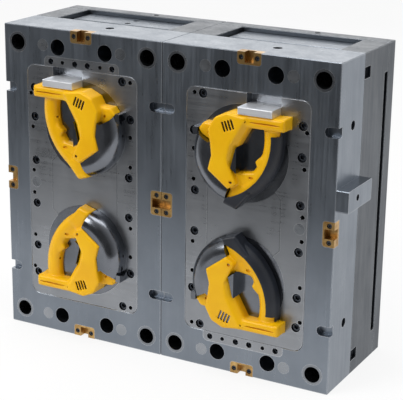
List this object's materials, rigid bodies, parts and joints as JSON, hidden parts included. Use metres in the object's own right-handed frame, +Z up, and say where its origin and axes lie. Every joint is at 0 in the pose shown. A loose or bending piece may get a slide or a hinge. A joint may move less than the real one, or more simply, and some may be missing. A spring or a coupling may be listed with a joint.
{
  "type": "injection mould core side",
  "caption": "Moving side of a two-shot injection mould: plate stacks side by side with core inserts, ejector sets, slides and moulded saw housings",
  "frame": {"origin": "middle of the bounding box on the floor", "axes": "+X to the right seen from the parting faces, +Y from the parting faces to the clamp plates, +Z up"},
  "size_m": [0.8278, 0.33, 0.7],
  "materials": {
    "plate_steel": "ground mould steel",
    "insert_steel": "finely ground mould steel",
    "polished_steel": "polished hardened steel",
    "brass": "machined",
    "yellow_plastic": "glossy moulded",
    "black_grip": "soft over-moulded"
  },
  "bodies": {
    "mould_frame": {"left_core_plate": "plate_steel", "left_guide_bushes": "polished_steel", "left_parting_locks": "brass", "left_wedge_blocks": "insert_steel", "left_outer_rail": "plate_steel", "left_inner_rail": "plate_steel", "left_clamp_plate": "plate_steel", "left_frame_screws": "polished_steel", "left_support_pillars": "polished_steel", "left_stop_buttons": "polished_steel", "left_core_insert": "insert_steel", "left_centre_insert": "insert_steel", "left_insert_plug": "insert_steel", "left_upper_core": "polished_steel", "left_lower_core": "polished_steel", "right_core_plate": "plate_steel", "right_guide_bushes": "polished_steel", "right_parting_locks": "brass", "right_wedge_blocks": "insert_steel", "right_outer_rail": "plate_steel", "right_inner_rail": "plate_steel", "right_clamp_plate": "plate_steel", "right_frame_screws": "polished_steel", "right_support_pillars": "polished_steel", "right_stop_buttons": "polished_steel", "right_core_insert": "insert_steel", "right_centre_insert": "insert_steel", "right_insert_plug": "insert_steel", "right_upper_core": "polished_steel", "right_lower_core": "polished_steel", "right_side_lifting_block": "plate_steel"},
    "left_ejector_set": {"left_ejector_retainer_plate": "plate_steel", "left_ejector_base_plate": "plate_steel", "left_ejector_pins": "polished_steel", "left_return_pins": "polished_steel"},
    "right_ejector_set": {"right_ejector_retainer_plate": "plate_steel", "right_ejector_base_plate": "plate_steel", "right_ejector_pins": "polished_steel", "right_return_pins": "polished_steel"},
    "left_upper_housing": {"left_upper_moulding": "yellow_plastic"},
    "left_lower_housing": {"left_lower_moulding": "yellow_plastic"},
    "right_upper_housing": {"right_upper_moulding": "yellow_plastic", "right_upper_grip": "black_grip"},
    "right_lower_housing": {"right_lower_moulding": "yellow_plastic", "right_lower_grip": "black_grip"},
    "left_slide_body": {"left_upper_slide": "polished_steel"},
    "right_slide_body": {"right_upper_slide": "polished_steel"}
  },
  "joints": [
    {"name": "left_ejection", "type": "slide", "parent": "mould_frame", "child": "left_ejector_set", "axis": [0, -1, 0], "range_m": [0, 0.05]},
    {"name": "right_ejection", "type": "slide", "parent": "mould_frame", "child": "right_ejector_set", "axis": [0, -1, 0], "range_m": [0, 0.05]},
    {"name": "left_upper_housing_lift", "type": "slide", "parent": "left_ejector_set", "child": "left_upper_housing", "axis": [0, -1, 0], "range_m": [0, 0.15]},
    {"name": "left_lower_housing_lift", "type": "slide", "parent": "left_ejector_set", "child": "left_lower_housing", "axis": [0, -1, 0], "range_m": [0, 0.15]},
    {"name": "right_upper_housing_lift", "type": "slide", "parent": "right_ejector_set", "child": "right_upper_housing", "axis": [0, -1, 0], "range_m": [0, 0.15]},
    {"name": "right_lower_housing_lift", "type": "slide", "parent": "right_ejector_set", "child": "right_lower_housing", "axis": [0, -1, 0], "range_m": [0, 0.15]},
    {"name": "left_slide_travel", "type": "slide", "parent": "mould_frame", "child": "left_slide_body", "axis": [0, 0, 1], "range_m": [0, 0.014]},
    {"name": "right_slide_travel", "type": "slide", "parent": "mould_frame", "child": "right_slide_body", "axis": [0, 0, 1], "range_m": [0, 0.014]}
  ]
}
